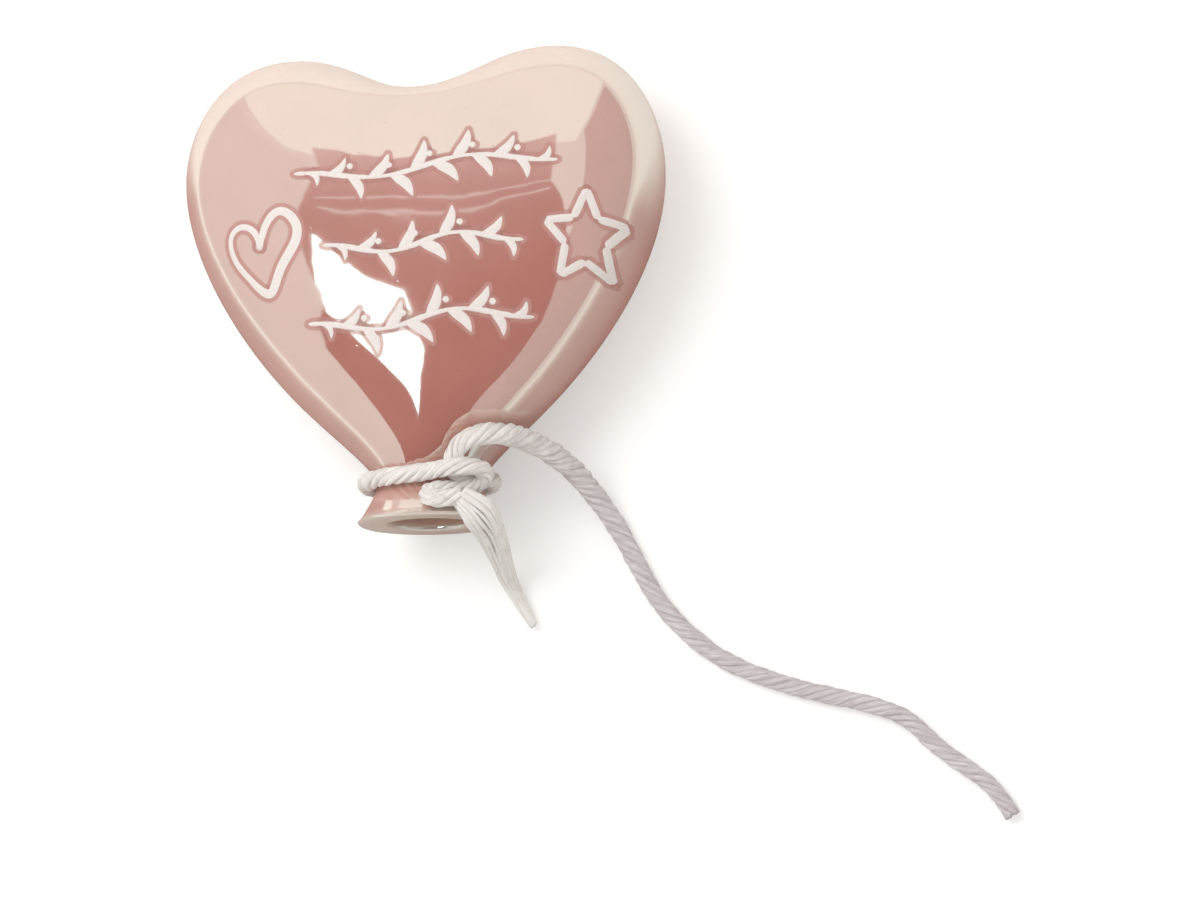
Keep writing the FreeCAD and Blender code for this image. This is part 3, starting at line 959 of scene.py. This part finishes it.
def add_stage():
    """White table, soft light, and the cards that the glaze reflects."""
    f = Finish("white_table")
    camera = f.node("ShaderNodeLightPath", out="Is Camera Ray")
    glossy = f.node("ShaderNodeLightPath", out="Is Glossy Ray")
    apart = f.node("ShaderNodeVectorMath", {0: f.place()}, out="Value", operation="LENGTH")
    ahead = f.node("ShaderNodeVectorMath", {0: f.place(), 1: (0.12, 0.99, 0.0)},
                   out="Value", operation="DOT_PRODUCT")
    # Painted shade: in the glaze the table is painted dark close by, standing in for the object's
    # own shade on it, except beyond the two lobes.
    shade_near_object = 1.0 - f.between(apart, 0.06, 0.40)
    far = 1.0 - shade_near_object * (1.0 - f.between(ahead, 0.012, 0.048))
    # Painted shade colour near the object, blended to the bright table further away.
    glaze_view_painted_shade = f.blend(far, (0.36, 0.34, 0.33), (0.95, 0.93, 0.90))
    colour = f.blend(glossy, (0.80, 0.79, 0.78), glaze_view_painted_shade)
    diffuse = f.node("ShaderNodeBsdfDiffuse", {"Color": colour})
    glow = f.node("ShaderNodeEmission", {"Color": WHITE, "Strength": TABLE_GLOW})
    both = f.node("ShaderNodeAddShader", {0: diffuse, 1: glow})
    lit = camera + 0.5 * (glossy * far)
    shown = f.node("ShaderNodeMixShader", {0: lit, 1: diffuse, 2: both})
    reach = 3.0
    table = make_piece("table", [(-reach, -reach, 0), (reach, -reach, 0),
                                 (reach, reach, 0), (-reach, reach, 0)],
                       [(0, 1, 2, 3)], f.surface(shown), smooth=False)
    table.data.transform(Matrix.Translation((0, 0, -TABLE_GAP)))

    room = Finish("studio", "World")
    soft = room.node("ShaderNodeBackground", {
        "Color": (1.0, 0.985, 0.96, 1), "Strength": ROOM_LIGHT})
    pale = room.node("ShaderNodeBackground", {"Color": HORIZON, "Strength": 1.0})
    seen = room.node("ShaderNodeLightPath", out="Is Camera Ray")
    bpy.context.scene.world = room.surface(room.node(
        "ShaderNodeMixShader", {0: seen, 1: soft, 2: pale}))

    lamp = bpy.data.lights.new("softbox", "AREA")
    lamp.shape = "DISK"
    lamp.size = 0.6
    lamp.energy = 4.0
    holder = bpy.data.objects.new("softbox", lamp)
    holder.location = (-0.35, 0.25, 0.9)
    aim = (-holder.location).to_track_quat("-Z", "Y")
    holder.rotation_mode = "QUATERNION"
    holder.rotation_quaternion = aim
    holder.visible_glossy = False
    bpy.context.scene.collection.objects.link(holder)

    height = 1.5
    dark = [(-0.6, 1.1), (-0.35, 0.75), (-0.2, 0.75), (0.25, 1.05), (0.2, 0.3),
            (0.45, -0.05), (3.0, -4.0), (-4.0, -4.0), (-0.7, -0.2), (-0.5, 0.6)]
    card("dark_opening", overhead(height, dark), 0.03, (1.0, 0.85, 0.82), rise=(-0.3, 1.2, 0.55))
    for middle in (0.30, 0.22):
        slack, thick = 0.05, 0.006
        wire = [(-0.5, middle), (-0.2, middle - slack), (0.2, middle)]
        edge = [(x, y + 2 * thick) for x, y in reversed(wire)]
        card("hanging_wire", overhead(height - 0.01, wire + edge), 0.75)
    window = [(-0.55, 0.1), (-0.3, -0.05), (-0.2, -0.4), (-0.25, -0.8),
              (-0.75, -0.3), (-0.6, 0.0)]
    card("window", overhead(height - 0.02, window), 4.0)
    card("left_wall", [(-1.2, -4.0, 0.12), (-1.2, 1.7, 0.12), (-1.2, 1.7, 3.2), (-1.2, -4.0, 3.2)],
         0.74, (1.0, 0.98, 0.96))
    card("right_wall", [(1.2, -4.0, 0.16), (1.2, 2.4, 0.16), (1.2, 2.4, 3.0), (1.2, -4.0, 3.0)],
         0.42, (1.0, 0.98, 0.96))
    card("front_wall", [(-1.2, -1.6, 0.1), (1.2, -1.6, 0.1), (1.2, -1.6, 1.5), (-1.2, -1.6, 1.5)],
         0.50, (1.0, 0.92, 0.90))
    card("top_wall", [(-1.2, 1.9, 0.02), (1.2, 2.6, 0.02), (1.2, 2.6, 4.2), (-1.2, 1.9, 4.2)],
         1.12, (1.0, 0.98, 0.92))


CAMERA_AIM = Vector((0.0327, -0.0325, 0.0))
CAMERA_DISTANCE = 0.808
YAW_DEG, PITCH_DEG, ROLL_DEG = 8.5, 9.5, -1.2


def add_camera():
    """The camera, nearly overhead and a little to the mouth's side.

    Yaw takes it to the right, pitch towards the mouth, and roll turns it
    about its own line of sight.
    """
    data = bpy.data.cameras.new("camera")
    data.lens = 116.2
    data.sensor_width = 36.0
    data.sensor_fit = "HORIZONTAL"
    data.clip_start = 0.01
    eye = bpy.data.objects.new("camera", data)
    yaw, pitch, roll = (math.radians(angle) for angle in (YAW_DEG, PITCH_DEG, ROLL_DEG))
    aim = (Matrix.Rotation(yaw, 4, "Y") @ Matrix.Rotation(pitch, 4, "X")
           @ Matrix.Rotation(roll, 4, "Z"))
    away = Matrix.Translation((0, 0, CAMERA_DISTANCE))
    eye.matrix_world = Matrix.Translation(CAMERA_AIM) @ aim @ away
    bpy.context.scene.collection.objects.link(eye)
    bpy.context.scene.camera = eye


# ---------------------------------------------------------------- assembly
glaze = lustre_glaze()
shell = add_shell(glaze)
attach(shell, "root")
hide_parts("balloon_shell")
add_prints(print_enamel())
twine_cotton = cotton("twisted_cotton", (0.92, 0.89, 0.85), (0.68, 0.63, 0.61), (0.55, 0.48, 0.46))
greyed_cotton = cotton("greyed_cotton", (0.92, 0.89, 0.85), (0.68, 0.63, 0.61), (0.50, 0.43, 0.42),
                     (0.70, 0.665, 0.68), (0.50, 0.455, 0.465))
tail_cotton = cotton("unlaid_cotton", (0.93, 0.91, 0.88), (0.80, 0.77, 0.73), (0.68, 0.61, 0.57))
add_twine(twine_cotton, greyed_cotton, tail_cotton)
add_stage()
add_camera()
bpy.context.scene.view_settings.view_transform = "Standard"
